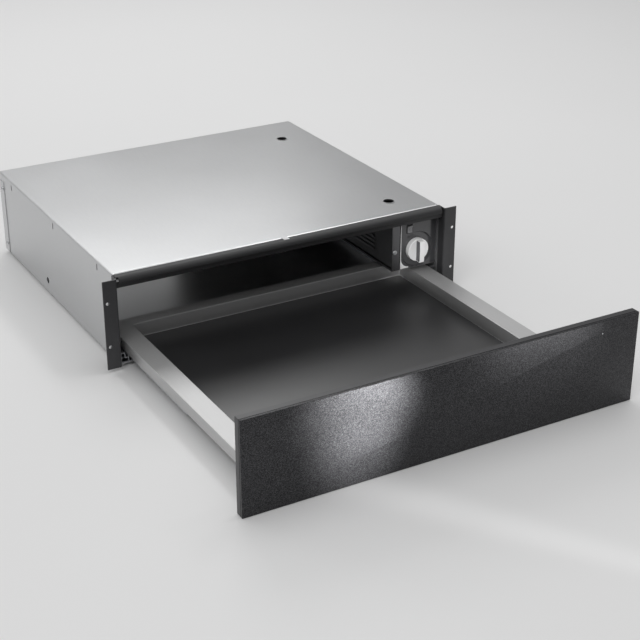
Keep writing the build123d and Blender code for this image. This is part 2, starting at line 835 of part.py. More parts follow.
def control_plate():
    """Front plate of the controls with a folded left edge and a pressed dish round the knob."""
    z = (duct_ceiling, top_under - sheet_t - seat)
    all_y = past((plate_y, behind_dish))
    opening = rod_y(knob_x, *all_y, knob_z, dish_r - screw_play / 10)
    plate = block(plate_x, (plate_y, plate_y + plate_t), z)
    plate = plate + block((plate_x[0], plate_x[0] + plate_t), (plate_y, plate_y + plate_fold), z)
    plate = plate - opening
    outline = [(dish_r, plate_y), (dish_floor_r, dish_y), (0, dish_y), (0, behind_dish),
               (dish_floor_r + dish_wall, behind_dish), (dish_r + dish_wall, plate_y + plate_t),
               (dish_r + dish_wall, plate_y)]
    dish = revolve(Plane.XY * make_face(Polyline(*outline, close=True)), Axis.Y, 360)
    plate = plate + ((Pos(knob_x, 0, knob_z) * dish) & block(plate_x, all_y, z))
    plate = plate - rod_y(knob_x, *all_y, knob_z, shaft_r + bush_t + bush_play)
    w = rocker_w + 2 * (rocker_gap + switch_wall + switch_play)
    h = rocker_h + 2 * (rocker_gap + switch_wall + switch_play)
    return plate - block(centred(switch_x, w), all_y, centred(switch_z, h))


def thermostat():
    """Thermostat body behind the plate, with a bush that carries the knob's shaft."""
    back = behind_dish + therm_d
    body = block(centred(knob_x, therm_w), (behind_dish, back), centred(knob_z, therm_h))
    body = chamfer(body.edges().filter_by(Axis.Y), therm_corner)
    body = body + rod_y(knob_x, dish_y, behind_dish + sheet_t, knob_z, shaft_r + bush_t)
    for x in spread(knob_x - therm_tab_pitch, knob_x + therm_tab_pitch, 3):
        body = body + block(centred(x, tab_w), (back, back + tab_l), centred(knob_z + tab_l, tab_t))
    return body - rod_y(knob_x, dish_y - over, behind_dish + shaft_hold + shaft_play, knob_z,
                        shaft_r + running_gap)


def knob_shaft():
    return rod_y(knob_x, knob_front_y + shaft_in, behind_dish + shaft_hold, knob_z, shaft_r)


def grip_blank(width, grow):
    """Grip bar drawn round the Y axis: bowed in front, round at its ends, with drafted flanks."""
    front = knob_front_y
    deep = front + grip_h
    radius = knob_r - knob_taper + grow
    bow = rod_x(-width, width, front + grip_crown, 0, grip_crown)
    envelope = rod_y(0, front - over, deep, 0, radius) & bow
    half = width / 2
    spread_out = grip_h * tan(radians(grip_draft))
    section = Polyline((-half, front), (half, front), (half + spread_out, deep), (-half - spread_out, deep),
                       close=True)
    return along_z(make_face(section), -radius, radius) & envelope


def knob():
    """Tapered disc with a drafted grip bar across its face, bored for the shaft."""
    face = knob_front_y + grip_h
    back = dish_y - seat
    rim = knob_r - knob_taper
    half = [(0, face), (rim - knob_chamfer, face), (rim, face + knob_chamfer), (knob_r, back), (0, back)]
    disc = revolve(make_face(Polyline(*half, close=True)), Axis.Y, 360)
    bar = grip_blank(grip_w, 0)
    bar = fillet(bar.edges().filter_by(lambda edge: edge.center().Y < face - grip_edge), grip_edge)
    body = Pos(knob_x, 0, knob_z) * (disc + bar) - knob_pointer(inlay_play)
    return body - rod_y(knob_x, knob_front_y + shaft_in, back + over, knob_z, shaft_r)


def knob_pointer(play):
    """Dark inlays in both flanks of the grip, which show where the knob points."""
    y = (knob_front_y + inlay_in - play, knob_front_y + grip_h - inlay_in + play)
    z = centred(0, 2 * (knob_r - 2 * inlay_in + play))
    core = block(centred(0, grip_w - 2 * inlay_t - 2 * play), past(y), past(z))
    inlay = (grip_blank(grip_w, 0) & block(past(centred(0, grip_w)), y, z)) - core
    return Pos(knob_x, 0, knob_z) * inlay


def switch_housing():
    """Rocker switch body with a thin bezel in front of the plate."""
    w = rocker_w + 2 * rocker_gap
    h = rocker_h + 2 * rocker_gap
    front = plate_y - switch_proud
    back = plate_y + switch_d
    housing = block(centred(switch_x, w + 2 * switch_wall), (front, back),
                    centred(switch_z, h + 2 * switch_wall))
    housing = housing - block(centred(switch_x, w), (front - over, plate_y + switch_well),
                              centred(switch_z, h))
    for z in centred(switch_z, switch_tab_pitch):
        housing = housing + block(centred(switch_x, switch_tab_w), (back, back + switch_tab_l),
                                  centred(z, tab_t))
    pin_x = centred(switch_x, w + 2 * (rocker_pin_l + rocker_pin_play))
    return housing - rod_x(*pin_x, plate_y + rocker_pivot, switch_z, rocker_pin_r + running_gap)


def rocker():
    """Rocker with a shallow V face on its own trunnions, resting tilted to off."""
    half_h = rocker_h / 2 - rocker_swing
    y0 = plate_y - rocker_stand
    pivot_y = plate_y + rocker_pivot
    face = [(y0, half_h), (y0 + rocker_dip, 0), (y0, -half_h), (pivot_y, -half_h + rocker_dip),
            (pivot_y + rocker_dip, 0), (pivot_y, half_h - rocker_dip)]
    body = along_x(make_face(Polyline(*face, close=True)), -rocker_w / 2, rocker_w / 2)
    pin_x = centred(0, rocker_w + 2 * (rocker_gap + rocker_pin_l))
    body = body + rod_x(*pin_x, pivot_y, 0, rocker_pin_r)
    return Pos(switch_x, pivot_y, switch_z) * Rot(rocker_tilt, 0, 0) * Pos(0, -pivot_y, 0) * body


# ---------------------------------------------------------------- fan, heater, electrics
def fan_bulkhead():
    """Wall across the duct that carries the fan, with four inlet holes."""
    x = (duct_x + sheet_t + seat, inner_w - sheet_t - seat)
    z = (duct_ceiling, top_under - sheet_t - seat)
    y = (fan_y, motor_y)
    wall = block(x, y, z) + block(x, (fan_y, fan_y + bulkhead_foot), (z[0], z[0] + sheet_t))
    for hole_x in centred(fan_x, 2 * bulkhead_hole_at):
        for hole_z in centred(fan_z, 2 * bulkhead_hole_at):
            wall = wall - rod_y(hole_x, *past(y), hole_z, bulkhead_hole)
    return wall - rod_y(fan_x, *past(y), fan_z, bulkhead_bore)


def fan_core():
    """Lamination stack of the shaded-pole motor with its bearing bridge and two posts."""
    z0 = fan_z - core_below
    stack = block(centred(fan_x, core_w), core_y, (z0, z0 + core_h))
    window = block(centred(fan_x, window_w), past(core_y), (fan_z + window_z[0], fan_z + window_z[1]))
    bridge_y = motor_y + bridge_at
    bridge = block(centred(fan_x, bridge_w), (bridge_y, bridge_y + bridge_t), centred(fan_z, bridge_h))
    core = stack - window + bridge
    for x in centred(fan_x, 2 * post_at):
        core = core + rod_y(x, motor_y, core_y[0], fan_z, post_r)
    return core - rod_y(fan_x, *past((motor_y, core_y[1])), fan_z, fan_shaft_r + running_gap)


def fan_coil():
    """Taped winding round the top limb of the motor's core."""
    limb_z = (fan_z + window_z[1], fan_z - core_below + core_h)
    body_z = (fan_z + window_z[0] + coil_play, limb_z[1] + coil_wrap)
    coil = block(centred(fan_x, window_w - 2 * coil_play), (core_y[0] - coil_wrap, core_y[1] + coil_wrap),
                 body_z)
    coil = fillet(coil.edges().filter_by(Axis.X), coil_round)
    return coil - block(past(centred(fan_x, window_w)), core_y, limb_z)


def fan_wheel():
    """Blower wheel: back disc, curved blades, front ring and its shaft."""
    back = fan_y - fan_gap
    front = back - fan_w
    disc = rod_y(fan_x, back - fan_disc_t, back, fan_z, fan_r)
    hub = rod_y(fan_x, back - fan_hub_l, back, fan_z, fan_hub_r)
    ring_y = (front, front + fan_disc_t)
    ring = rod_y(fan_x, *ring_y, fan_z, fan_r) - rod_y(fan_x, *past(ring_y), fan_z, fan_r - fan_ring_w)
    wheel = disc + hub + ring
    blade = trace(Polyline(*[(fan_r + dx, dz) for dx, dz in blade_line]), blade_t)
    for i in range(fan_blades):
        turned = Pos(fan_x, fan_z) * Rot(0, 0, 360 / fan_blades * i) * blade
        wheel = wheel + along_y(turned, front + blade_lap, back - blade_lap)
    return wheel + rod_y(fan_x, back - fan_hub_l - over, core_y[1] + rotor_tail, fan_z, fan_shaft_r)


def heater():
    """Tubular element bent into a long U, with two terminals at its back."""
    y0, y1 = heater_y
    left, right = centred(fan_x, 2 * heater_half)
    bend_y = y0 + heater_half
    arc = ThreePointArc((left, bend_y), (fan_x, y0), (right, bend_y))
    spine = Polyline((left, y1), (left, bend_y)) + arc + Polyline((right, bend_y), (right, y1))
    section = Plane((left, y1, fan_z), z_dir=(0, -1, 0)) * Circle(heater_r)
    tube = sweep(section, path=Pos(0, 0, fan_z) * spine)
    for x in (left, right):
        tube = tube + rod_y(x, y1, y1 + heater_pin_l, fan_z, heater_pin_r)
    return tube


def heater_bracket():
    """Upright that carries the element's two legs on the duct floor."""
    y = heater_y[1] - heater_bracket_in
    x = centred(fan_x, heater_bracket_w)
    z0 = duct_ceiling
    plate = block(x, (y, y + heater_bracket_t), (z0, fan_z + heater_bracket_top))
    plate = plate + block(x, (y, y + heater_bracket_l), (z0, z0 + heater_bracket_t))
    for leg_x in centred(fan_x, 2 * heater_half):
        plate = plate - rod_y(leg_x, *past((y, y + heater_bracket_t)), fan_z, heater_r + heater_play)
    return plate


def cutout():
    """Safety thermostat: a disc on the duct wall with two tabs."""
    x = duct_x + sheet_t
    y = fan_y - cutout_from_fan
    z = fan_z + cutout_rise
    body = rod_x(x, x + cutout_t, y, z, cutout_r)
    body = body + rod_x(x + cutout_t, x + cutout_t + cutout_cap_t, y, z, cutout_cap_r)
    for tab_y in centred(y, cutout_r + 2 * cutout_cap_t):
        body = body + block((x + cutout_t, x + cutout_t + tab_l), centred(tab_y, tab_w), centred(z, tab_t))
    return body


def terminal_block():
    """Block with three cells open to the top and to both sides, for the supply wires."""
    y = (duct_y[1] - terminal_back - terminal_d, duct_y[1] - terminal_back)
    z0 = duct_ceiling
    body = block(centred(fan_x, terminal_w), y, (z0, z0 + terminal_h))
    cell_z = (z0 + terminal_sill, z0 + terminal_h + over)
    for x in spread(fan_x - terminal_pitch, fan_x + terminal_pitch, 3):
        for cell_y in ((y[0] - over, y[0] + terminal_reach), (y[1] - terminal_reach, y[1] + over)):
            body = body - block(centred(x, terminal_cell), cell_y, cell_z)
    return body


def cable_gland():
    """Strain relief in the rear panel, with its nut inside."""
    y = housing_back
    ends = (y - gland_in, y + gland_out)
    body = rod_y(fan_x, *ends, gland_z, gland_bore_r + gland_wall)
    hexagon = Pos(fan_x, gland_z) * RegularPolygon(gland_hex_r, 6)
    head = along_y(hexagon, y, y + gland_head)
    nut = along_y(hexagon, y - sheet_t - gland_nut, y - sheet_t)
    return body + head + nut - rod_y(fan_x, *past(ends), gland_z, gland_bore_r)


def latch_body():
    """Push latch on the base plate, behind the shut tray."""
    y1 = housing_back - sheet_t
    y0 = shut_pan_back + plunger_proud + plunger_gap
    body = block(centred(0, latch_w), (y0, y1), latch_z)
    foot = block(centred(0, latch_w + 2 * latch_foot), (y1 - latch_foot_d, y1),
                 (latch_z[0], latch_z[0] + latch_foot_t))
    return body + foot - rod_y(0, y0 - over, y1 - latch_wall, plunger_z, plunger_r + running_gap)


def latch_plunger():
    y0 = shut_pan_back + plunger_gap
    y1 = housing_back - sheet_t - latch_wall - plunger_stroke - plunger_spare
    rod = rod_y(0, y0, y1, plunger_z, plunger_r)
    return chamfer(rod.edges().sort_by(Axis.Y)[0], plunger_tip)


# ---------------------------------------------------------------- fasteners
def pan_head(pos, turn, length):
    """Screw with its head seat at pos; unturned, its shank points down."""
    head = Pos(0, 0, head_h / 2) * Cylinder(head_r, head_h)
    head = chamfer(head.edges().sort_by(Axis.Z)[-1], head_edge)
    shank = Pos(0, 0, -length / 2) * Cylinder(screw_r, length)
    return Pos(*pos) * Rot(*turn) * (head + shank)


def side_heads(x, y, zs, length):
    """Screws or rivets driven inwards through both sides of the shell."""
    heads = [pan_head((x, y, z), (0, 90, 0), length) for z in zs]
    return group(heads + [other_side(head) for head in heads])


def duct_screw():
    """Screw in the front strip of the duct wall."""
    seat_at = (duct_x + strip_screw_in, duct_y[0], knob_z + strip_screw_rise)
    return pan_head(seat_at, (90, 0, 0), sheet_t + 3 * screw_spare)


def cover_screws():
    """Screws through the rear flanges and the shell's sides."""
    y = housing_back - rear_screw_in
    return side_heads(half_w + sheet_t, y, rear_screw_zs, 2 * sheet_t + screw_spare)


def web_rivets():
    """Rivets that hold the cabinet flanges to the shell."""
    return side_heads(half_w + flange_t, rivet_y, rivet_zs, flange_t + sheet_t)


# ---------------------------------------------------------------- write every piece
save("housing_cover", housing_cover())
save("base_plate", base_plate())
save("rear_panel", rear_panel())
save("mouth_crossbar", crossbar())
save_pair("cabinet_flange", cabinet_flange())

save("tray", tray())
save("anti_slip_mat", mat())
save("front_glass", front_glass())
save("front_frame", front_frame())
save("led_lens", led_lens())
save_pair("front_angle", front_angle())
save("front_screws", front_screws())
save("closing_buffers", buffers())

save_pair("fixed_rail", place_in_runner(channel_rail(fixed_rail_y), False))
save_pair("middle_rail", middle_rail())
save_pair("drawer_rail", place_in_runner(channel_rail(drawer_rail_y), True))
save_pair("rail_bracket", rail_bracket())
for level, mid_y in (("lower", lower_cage_y), ("upper", upper_cage_y)):
    save_pair(f"{level}_ball_cage", cage(mid_y, level == "upper"))
    save_pair(f"{level}_balls", balls(mid_y, level == "upper"))
save("rail_screws", rail_screws())
save("guide_studs", guide_studs())

save("duct_wall", duct_wall())
save("duct_floor", duct_floor())
save("duct_screw", duct_screw())
save("control_plate", control_plate())
save("thermostat", thermostat())
save("thermostat_shaft", knob_shaft())
save("thermostat_knob", knob())
save("knob_pointer", knob_pointer(0))
save("switch_housing", switch_housing())
save("power_rocker", rocker())

save("fan_bulkhead", fan_bulkhead())
save("fan_core", fan_core())
save("fan_coil", fan_coil())
save("fan_wheel", fan_wheel())
save("heater_element", heater())
save("heater_bracket", heater_bracket())
save("safety_cutout", cutout())
save("terminal_block", terminal_block())
save("cable_gland", cable_gland())
save("latch_body", latch_body())
save("latch_plunger", latch_plunger())
save("cover_screws", cover_screws())
save("web_rivets", web_rivets())
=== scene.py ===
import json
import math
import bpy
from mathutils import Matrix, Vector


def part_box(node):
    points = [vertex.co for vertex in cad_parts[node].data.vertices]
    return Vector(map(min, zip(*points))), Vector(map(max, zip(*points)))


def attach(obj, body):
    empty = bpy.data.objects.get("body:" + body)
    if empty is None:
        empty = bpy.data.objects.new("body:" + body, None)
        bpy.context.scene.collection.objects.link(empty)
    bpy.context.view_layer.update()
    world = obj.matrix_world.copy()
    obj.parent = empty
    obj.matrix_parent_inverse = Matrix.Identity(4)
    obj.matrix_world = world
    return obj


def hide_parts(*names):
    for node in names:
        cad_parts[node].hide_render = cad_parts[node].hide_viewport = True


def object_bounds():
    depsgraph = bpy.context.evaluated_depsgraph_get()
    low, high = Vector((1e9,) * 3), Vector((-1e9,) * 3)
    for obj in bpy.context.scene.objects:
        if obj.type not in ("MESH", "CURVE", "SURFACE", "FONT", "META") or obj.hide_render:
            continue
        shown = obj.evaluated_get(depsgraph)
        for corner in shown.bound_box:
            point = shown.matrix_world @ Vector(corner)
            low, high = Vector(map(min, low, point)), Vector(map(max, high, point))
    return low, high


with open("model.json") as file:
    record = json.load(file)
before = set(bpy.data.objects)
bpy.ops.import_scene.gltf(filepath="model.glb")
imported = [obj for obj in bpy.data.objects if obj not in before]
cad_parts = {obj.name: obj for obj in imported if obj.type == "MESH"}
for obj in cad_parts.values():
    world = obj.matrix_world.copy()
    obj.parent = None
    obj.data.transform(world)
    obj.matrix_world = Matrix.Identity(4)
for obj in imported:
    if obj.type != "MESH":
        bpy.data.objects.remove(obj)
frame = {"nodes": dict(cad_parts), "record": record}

# %% [markdown]
# A built-in warming drawer, pulled out to its stop. The imported CAD model is the frame: every
# node is already where it belongs, in metres. This script gives each node its finish and lights
# the whole. It also models anew the pieces whose edges catch the light, which are the glass
# pane, the status light, the knob and the heads of screws and rivets, and it adds one fold whose
# near-white colour is a painted highlight. The CAD box is found and printed at the start.

MM = 0.001
X, Y, Z = 0, 1, 2
nodes = frame["nodes"]
cad_low, cad_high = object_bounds()
print("CAD box", [round(v, 4) for v in cad_low], [round(v, 4) for v in cad_high])

# %% [markdown]
# The camera stands where the photograph's camera stood: about 0.9 m left of the drawer's middle,
# 1.7 m in front of the cabinet and 0.9 m above it, turned a third of a right angle to the right
# and tilted down. The lens is a long one, so the lines hardly converge.

# %% camera
CAMERA_PLACE = (-0.9334, -1.7260, 0.8804)
TILT_DOWN, TURN_RIGHT = 25.59, 29.68
LENS, SENSOR = 81.56, 36.0
FARTHEST = 20.0

camera_data = bpy.data.cameras.new("camera")
camera_data.lens = LENS
camera_data.sensor_width = SENSOR
camera_data.clip_end = FARTHEST
camera = bpy.data.objects.new("camera", camera_data)
camera.location = CAMERA_PLACE
camera.rotation_euler = (math.radians(90 - TILT_DOWN), 0, math.radians(-TURN_RIGHT))
bpy.context.scene.collection.objects.link(camera)
bpy.context.scene.camera = camera
print("camera at", CAMERA_PLACE, "with a lens of", LENS, "mm")

# %% [markdown]
# Every new piece is modelled by hand steps: a primitive at its size and place, then edit steps
# and modifiers that are applied. An operator acts on all that is selected, so the first helpers
# clear the selection and pick out one piece. The next ones add a block or a rod whose place and
# size are already in its mesh, as a CAD node's are, because a pattern would slide otherwise.

# %% selecting, and starting a piece
def clear_selection():
    if bpy.context.mode != "OBJECT":
        bpy.ops.object.mode_set(mode="OBJECT")
    bpy.ops.object.select_all(action="DESELECT")


def only(piece):
    """Select one piece and make it active."""
    clear_selection()
    piece.select_set(True)
    bpy.context.view_layer.objects.active = piece


def settle(piece):
    """Put a piece's place and size into its mesh, with its object at the origin."""
    only(piece)
    bpy.ops.object.transform_apply(location=True, rotation=True, scale=True)


def add_block(low, high):
    """A box between two corners, in metres."""
    low, high = Vector(low), Vector(high)
    clear_selection()
    bpy.ops.mesh.primitive_cube_add(size=1, location=(low + high) / 2)
    piece = bpy.context.object
    piece.scale = high - low
    settle(piece)
    return piece


def add_rod(centre, radius, length, along, sides):
    """A closed cylinder along one axis."""
    turn = {X: (0, math.pi / 2, 0), Y: (math.pi / 2, 0, 0), Z: (0, 0, 0)}[along]
    clear_selection()
    bpy.ops.mesh.primitive_cylinder_add(vertices=sides, radius=radius, depth=length,
                                        location=centre, rotation=turn)
    piece = bpy.context.object
    settle(piece)
    return piece


# %% [markdown]
# These helpers shape a piece. A modifier is applied as soon as it is added. Soft edges are what
# makes a block look made and not drawn, so one helper rounds every sharp edge of a piece, and
# another only those at one height, such as the front rim of a knob.

# %% shaping a piece
SHARP = math.radians(40)
SOFT_STEPS = 3
SAME_HEIGHT = 1e-6


def modify(piece, kind, **settings):
    """Add a modifier to a piece and apply it."""
    only(piece)
    step = piece.modifiers.new(kind.lower(), kind)
    for name, value in settings.items():
        setattr(step, name, value)
    bpy.ops.object.modifier_apply(modifier=step.name)


def soften(piece, width):
    """Round every sharp edge of a piece."""
    modify(piece, "BEVEL", width=width, segments=SOFT_STEPS, limit_method="ANGLE",
           angle_limit=SHARP)


def combine(piece, tool, operation):
    """Take a tool shape out of a piece, or keep what they share, and drop the tool."""
    modify(piece, "BOOLEAN", operation=operation, object=tool, solver="EXACT")
    bpy.data.objects.remove(tool)


def select_at(piece, kind, axis, height):
    """Enter edit mode with only the edges or faces that lie at one height along an axis."""
    only(piece)
    bpy.ops.object.mode_set(mode="EDIT")
    bpy.ops.mesh.select_mode(type=kind)
    bpy.ops.mesh.select_all(action="DESELECT")
    bpy.ops.object.mode_set(mode="OBJECT")
    corners = piece.data.vertices
    for member in piece.data.edges if kind == "EDGE" else piece.data.polygons:
        member.select = all(abs(corners[i].co[axis] - height) < SAME_HEIGHT
                            for i in member.vertices)
    bpy.ops.object.mode_set(mode="EDIT")


def bevel_rim(piece, axis, height, width, steps=4):
    """Round the edges of a piece that lie at one height along an axis."""
    select_at(piece, "EDGE", axis, height)
    bpy.ops.mesh.bevel(offset=width, segments=steps, affect="EDGES")
    bpy.ops.object.mode_set(mode="OBJECT")


def push_face(piece, axis, height, rim, depth):
    """Inset the faces at one height along an axis, then move them by a depth."""
    select_at(piece, "FACE", axis, height)
    bpy.ops.mesh.inset(thickness=rim)
    move = [0, 0, 0]
    move[axis] = depth
    bpy.ops.transform.translate(value=move)
    bpy.ops.object.mode_set(mode="OBJECT")


# %% [markdown]
# The last helpers end a piece. Several meshes are joined into one, and a finished piece gets its
# name, smooth shading up to a given angle, its finish and the CAD body that it rides on. Its
# finish is the slot's own, unless another one is named.

# %% ending a piece
SMOOTH_UP_TO = math.radians(35)
finishes = {}


def join_up(parts):
    """Join several meshes into the first."""
    if len(parts) == 1:
        return parts[0]
    clear_selection()
    for part in parts:
        part.select_set(True)
    bpy.context.view_layer.objects.active = parts[0]
    bpy.ops.object.join()
    return parts[0]


def done(piece, name, body, slot, finish=None):
    """Name a finished piece, shade it, paint it and let it ride on a CAD body."""
    piece.name = name
    only(piece)
    bpy.ops.object.shade_smooth_by_angle(angle=SMOOTH_UP_TO)
    piece.data.materials.clear()
    piece.data.materials.append(finishes[finish or slot])
    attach(piece, body)
    print(name, "has", len(piece.data.polygons), "faces")


# %% [markdown]
# Effects that several finishes share are node groups. Each takes a position and a few numbers,
# and gives back only a mask or a normal. "rolled grain" is a noise that is drawn out along the
# direction in which the sheet was rolled or brushed. "soft patches" is a large cloudy noise, for
# the slow change of tone over a sheet. "fine pores" is the small grain of moulded plastic,
# enamel and rubber. "flake" gives each tiny cell its own brightness, as in metallic paint.

# %% parts of a shared effect
GRAIN_DETAIL, CLOUD_DETAIL = 3.0, 2.0
BUMP_REACH = 0.2 * MM


def new_group(name, inputs, outputs):
    """An empty shader group with named sockets: (name, kind, default) and (name, kind)."""
    group = bpy.data.node_groups.new(name, "ShaderNodeTree")
    for label, kind, value in inputs:
        socket = group.interface.new_socket(label, in_out="INPUT", socket_type=kind)
        if value is not None:
            socket.default_value = value
    for label, kind in outputs:
        group.interface.new_socket(label, in_out="OUTPUT", socket_type=kind)
    entry = group.nodes.new("NodeGroupInput")
    leave = group.nodes.new("NodeGroupOutput")
    return group, entry, leave


def add_texture(group, entry, kind, position):
    """A texture that reads a position, at the group's own scale."""
    texture = group.nodes.new(kind)
    group.links.new(position, texture.inputs["Vector"])
    group.links.new(entry.outputs["Scale"], texture.inputs["Scale"])
    return texture


def drawn_out_position(group, entry):
    """The position, multiplied along each axis."""
    stretch = group.nodes.new("ShaderNodeVectorMath")
    stretch.operation = "MULTIPLY"
    group.links.new(entry.outputs["Position"], stretch.inputs[0])
    group.links.new(entry.outputs["Stretch"], stretch.inputs[1])
    return stretch.outputs[0]


def give_mask_and_normal(group, entry, leave, height):
    """Pass a height on as a mask, and as a normal with the group's own depth."""
    bump = group.nodes.new("ShaderNodeBump")
    bump.inputs["Distance"].default_value = BUMP_REACH
    group.links.new(height, bump.inputs["Height"])
    group.links.new(entry.outputs["Depth"], bump.inputs["Strength"])
    group.links.new(height, leave.inputs["Mask"])
    group.links.new(bump.outputs["Normal"], leave.inputs["Normal"])


# %% [markdown]
# Now the four effects. A noise or a pattern of cells goes into each, and what comes out changes
# over the surface. The numbers of the sockets are only defaults, since a finish sets its own.

# %% the four shared effects
POSITION = ("Position", "NodeSocketVector", None)
MASK, NORMAL = ("Mask", "NodeSocketFloat"), ("Normal", "NodeSocketVector")


def number(label, value):
    """A number socket of a group, with its default."""
    return label, "NodeSocketFloat", value


def make_rolled_grain():
    group, entry, leave = new_group(
        "rolled grain",
        [POSITION, ("Stretch", "NodeSocketVector", (1, 1, 1)), number("Scale", 900.0),
         number("Depth", 0.1)], [MASK, NORMAL])
    position = drawn_out_position(group, entry)
    noise = add_texture(group, entry, "ShaderNodeTexNoise", position)
    noise.inputs["Detail"].default_value = GRAIN_DETAIL
    give_mask_and_normal(group, entry, leave, noise.outputs["Fac"])
    return group


def make_soft_patches():
    group, entry, leave = new_group("soft patches", [POSITION, number("Scale", 6.0)], [MASK])
    noise = add_texture(group, entry, "ShaderNodeTexNoise", entry.outputs["Position"])
    noise.inputs["Detail"].default_value = CLOUD_DETAIL
    group.links.new(noise.outputs["Fac"], leave.inputs["Mask"])
    return group


def make_fine_pores():
    group, entry, leave = new_group(
        "fine pores", [POSITION, number("Scale", 1500.0), number("Depth", 0.1)], [MASK, NORMAL])
    cells = add_texture(group, entry, "ShaderNodeTexVoronoi", entry.outputs["Position"])
    give_mask_and_normal(group, entry, leave, cells.outputs["Distance"])
    return group


def make_flake():
    group, entry, leave = new_group(
        "flake", [POSITION, number("Scale", 900.0), number("Share", 0.7)], [MASK])
    cells = add_texture(group, entry, "ShaderNodeTexVoronoi", entry.outputs["Position"])
    ramp = group.nodes.new("ShaderNodeMapRange")
    apart = group.nodes.new("ShaderNodeSeparateColor")
    group.links.new(cells.outputs["Color"], apart.inputs["Color"])
    group.links.new(apart.outputs["Red"], ramp.inputs["Value"])
    group.links.new(entry.outputs["Share"], ramp.inputs["From Min"])
    group.links.new(ramp.outputs["Result"], leave.inputs["Mask"])
    return group


rolled_grain = make_rolled_grain()
soft_patches = make_soft_patches()
fine_pores = make_fine_pores()
flake = make_flake()
print("shared effects", [group.name for group in bpy.data.node_groups])

# %% [markdown]
# A finish is one Principled shader. Its colour and roughness swing between two values by one of
# the shared masks, and its normal comes from a shared group too, so that the grain that is seen
# is also the grain that catches the light. What is the same all over, such as the coat, is set
# on the shader's own sockets.

# %% finish helpers
def new_finish(name, metallic=0.0, coat=0.0, coat_roughness=0.1, specular=0.5):
    """A material with a Principled shader and the object's own coordinates."""
    finish = bpy.data.materials.new(name)
    finish.use_nodes = True
    tree = finish.node_tree
    shader = tree.nodes["Principled BSDF"]
    shader.inputs["Metallic"].default_value = metallic
    shader.inputs["Coat Weight"].default_value = coat
    shader.inputs["Coat Roughness"].default_value = coat_roughness
    shader.inputs["Specular IOR Level"].default_value = specular
    place = tree.nodes.new("ShaderNodeTexCoord").outputs["Object"]
    return finish, tree, shader, place


def use_group(tree, group, place, **values):
    """Place a shared effect in a finish, with its own numbers."""
    step = tree.nodes.new("ShaderNodeGroup")
    step.node_tree = group
    tree.links.new(place, step.inputs["Position"])
    for label, value in values.items():
        step.inputs[label].default_value = value
    return step


def swing_colour(tree, mask, dark, light):
    """A colour between two tones, by a mask."""
    mix = tree.nodes.new("ShaderNodeMix")
    mix.data_type = "RGBA"
    mix.inputs["A"].default_value = (*dark, 1)
    mix.inputs["B"].default_value = (*light, 1)
    tree.links.new(mask, mix.inputs["Factor"])
    return mix.outputs["Result"]


def swing_value(tree, mask, low, high):
    """A number between two values, by a mask."""
    step = tree.nodes.new("ShaderNodeMapRange")
    step.inputs["To Min"].default_value = low
    step.inputs["To Max"].default_value = high
    tree.links.new(mask, step.inputs["Value"])
    return step.outputs["Result"]


def mean_of(tree, first, second):
    """The mean of two masks: half of the second, plus the first times a half."""
    half = tree.nodes.new("ShaderNodeMath")
    half.operation = "MULTIPLY"
    half.inputs[1].default_value = 0.5
    both = tree.nodes.new("ShaderNodeMath")
    both.operation = "MULTIPLY_ADD"
    both.inputs[1].default_value = 0.5
    tree.links.new(second, half.inputs[0])
    tree.links.new(first, both.inputs[0])
    tree.links.new(half.outputs[0], both.inputs[2])
    return both.outputs[0]


# %% [markdown]
# Sheet metal and moulded material differ in their grain. Metal has lines, drawn out one way, and
# plastic, rubber and enamel have pores. Two helpers build the two kinds, so that a finish is one
# call with its tones, its roughness and the size and depth of its grain.

# %% the two kinds of finish
PLASTIC_CLOUDS = 14.0


def sheet_metal(name, dark, light, rough, stretch, depth=0.05, scale=900.0, metallic=1.0,
                patch=6.0):
    """Rolled or brushed sheet: drawn-out grain over slow cloudy changes of tone."""
    finish, tree, shader, place = new_finish(name, metallic=metallic)
    grain = use_group(tree, rolled_grain, place, Stretch=stretch, Scale=scale, Depth=depth)
    clouds = use_group(tree, soft_patches, place, Scale=patch).outputs["Mask"]
    tone = mean_of(tree, grain.outputs["Mask"], clouds)
    tree.links.new(swing_colour(tree, tone, dark, light), shader.inputs["Base Color"])
    if rough:
        tree.links.new(swing_value(tree, clouds, *rough), shader.inputs["Roughness"])
    tree.links.new(grain.outputs["Normal"], shader.inputs["Normal"])
    return finish


def moulded(name, dark, light, rough, scale=1500.0, depth=0.08, coat=0.0, specular=0.5):
    """Plastic, rubber or enamel with fine pores."""
    finish, tree, shader, place = new_finish(name, coat=coat, specular=specular)
    pores = use_group(tree, fine_pores, place, Scale=scale, Depth=depth)
    clouds = use_group(tree, soft_patches, place, Scale=PLASTIC_CLOUDS).outputs["Mask"]
    tree.links.new(swing_colour(tree, clouds, dark, light), shader.inputs["Base Color"])
    tree.links.new(swing_value(tree, clouds, *rough), shader.inputs["Roughness"])
    tree.links.new(pores.outputs["Normal"], shader.inputs["Normal"])
    return finish


# %% [markdown]
# The shell is plain galvanised sheet with a satin shine, and the runners are zinc plated and
# brighter. The grain of rolled sheet runs into the cabinet, along Y, so its noise is drawn out
# that way. Each finish is stored under the record's material slot that it stands for. Only the
# fold's painted highlight here, and the bar's enamel further down, stand for no slot and have
# names of their own. The tray's roughness is left open, because the next cell sets it by height.

# %% metal finishes
ROLLED, STRIP, FINE_BRUSHED, PLATED = (1, 0.08, 1), (1, 0.1, 1), (1, 0.03, 1), (1, 0.05, 1)
TUBE, FOLDED, EVEN, STACKED = (1, 0.3, 1), (1, 0.2, 1), (1, 1, 1), (0.1, 4, 0.1)

